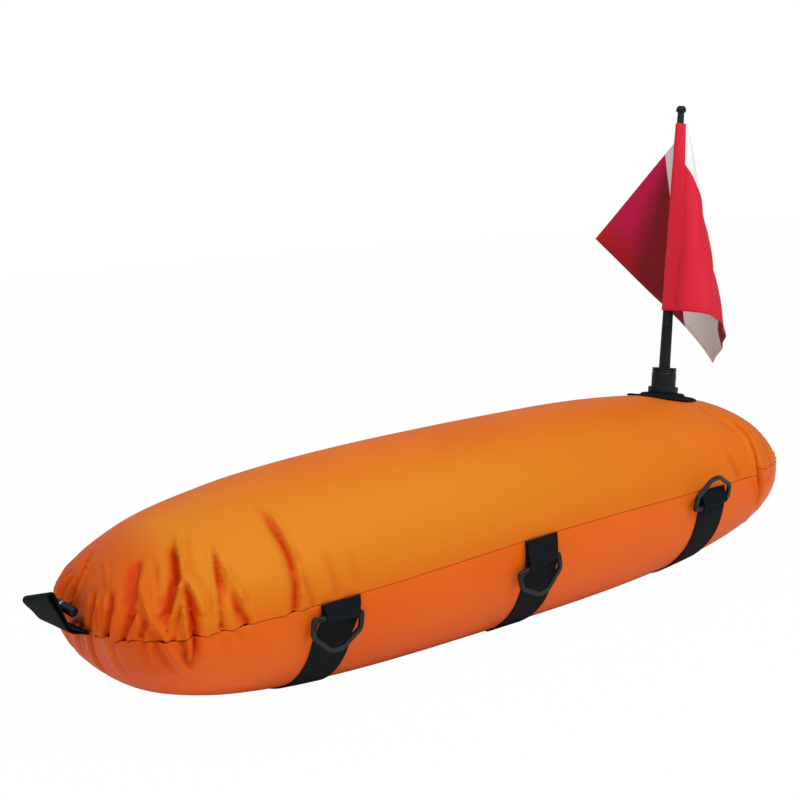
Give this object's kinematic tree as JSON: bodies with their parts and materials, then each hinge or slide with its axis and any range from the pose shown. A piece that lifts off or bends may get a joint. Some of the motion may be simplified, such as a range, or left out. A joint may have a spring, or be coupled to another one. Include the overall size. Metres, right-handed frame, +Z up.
{
  "type": "inflatable dive float with flag",
  "caption": "Long inflatable float with rounded ends, belly bands carrying folding D-rings, a towing loop, an inflation valve and a socketed pole with a hanging flag.",
  "frame": {"origin": "on the flat underside of the middle belly band, in the body's mid-plane and at half the body's length", "axes": "+X along the body towards the flag, +Y to the side away from the raised ring, +Z up"},
  "size_m": [0.8529, 0.2584, 0.4919],
  "materials": {
    "cover_nylon": "coated nylon with a satin sheen",
    "bladder_film": "smooth film",
    "webbing": "woven, matt",
    "black_plastic": "moulded, satin",
    "valve_silver": "bright",
    "flag_nylon": "thin woven cloth"
  },
  "bodies": {
    "float": {"cover_upper_panel": "cover_nylon", "cover_lower_panel": "cover_nylon", "inner_bladder": "bladder_film", "belly_band_near": "webbing", "belly_band_middle": "webbing", "belly_band_far": "webbing", "ring_tab_near_front": "webbing", "ring_tab_near_back": "webbing", "ring_tab_middle_front": "webbing", "ring_tab_middle_back": "webbing", "ring_tab_far_front": "webbing", "ring_tab_far_back": "webbing", "towing_loop": "webbing", "valve_base": "black_plastic", "valve_tube": "black_plastic", "valve_ring": "valve_silver", "socket_patch": "webbing", "flag_socket": "black_plastic", "socket_nut": "black_plastic"},
    "ring_near_front": {"d_ring_near_front": "black_plastic"},
    "ring_near_back": {"d_ring_near_back": "black_plastic"},
    "ring_middle_front": {"d_ring_middle_front": "black_plastic"},
    "ring_middle_back": {"d_ring_middle_back": "black_plastic"},
    "ring_far_front": {"d_ring_far_front": "black_plastic"},
    "ring_far_back": {"d_ring_far_back": "black_plastic"},
    "pole": {"flag_pole": "black_plastic", "pole_collar": "black_plastic", "pole_tip": "black_plastic"},
    "flag": {"flag_sleeve": "flag_nylon", "flag_cloth": "flag_nylon"},
    "valve_cap": {"valve_cap": "black_plastic"}
  },
  "joints": [
    {"name": "ring_near_front_swing", "type": "hinge", "parent": "float", "child": "ring_near_front", "pos_m": [-0.22499, -0.11372, 0.08398], "axis": [-0.9972, -0.011, 0.0737], "range_deg": [-9, 181]},
    {"name": "ring_near_back_swing", "type": "hinge", "parent": "float", "child": "ring_near_back", "pos_m": [-0.22499, 0.11372, 0.08398], "axis": [0.9972, -0.011, -0.0737], "range_deg": [-9, 181]},
    {"name": "ring_middle_front_swing", "type": "hinge", "parent": "float", "child": "ring_middle_front", "pos_m": [0.0021, -0.11283, 0.07833], "axis": [-0.975, 0.0395, -0.2186], "range_deg": [-9, 109]},
    {"name": "ring_middle_back_swing", "type": "hinge", "parent": "float", "child": "ring_middle_back", "pos_m": [0.0021, 0.11283, 0.07833], "axis": [0.975, 0.0395, 0.2186], "range_deg": [-9, 109]},
    {"name": "ring_far_front_swing", "type": "hinge", "parent": "float", "child": "ring_far_front", "pos_m": [0.23852, -0.11411, 0.08905], "axis": [-0.9948, 0.0095, -0.1014], "range_deg": [-178, 5]},
    {"name": "ring_far_back_swing", "type": "hinge", "parent": "float", "child": "ring_far_back", "pos_m": [0.23852, 0.11411, 0.08905], "axis": [0.9948, 0.0095, 0.1014], "range_deg": [-9, 174]},
    {"name": "pole_lift", "type": "slide", "parent": "float", "child": "pole", "axis": [0.1564, 0, 0.9877], "range_m": [0, 0.024]},
    {"name": "flag_spin", "type": "hinge", "parent": "pole", "child": "flag", "pos_m": [0.291, 0, 0.18624], "axis": [0.1564, 0, 0.9877], "continuous": true},
    {"name": "valve_cap_pull", "type": "slide", "parent": "float", "child": "valve_cap", "axis": [0.2017, -0.9491, -0.2419], "range_m": [0, 0.012]}
  ]
}
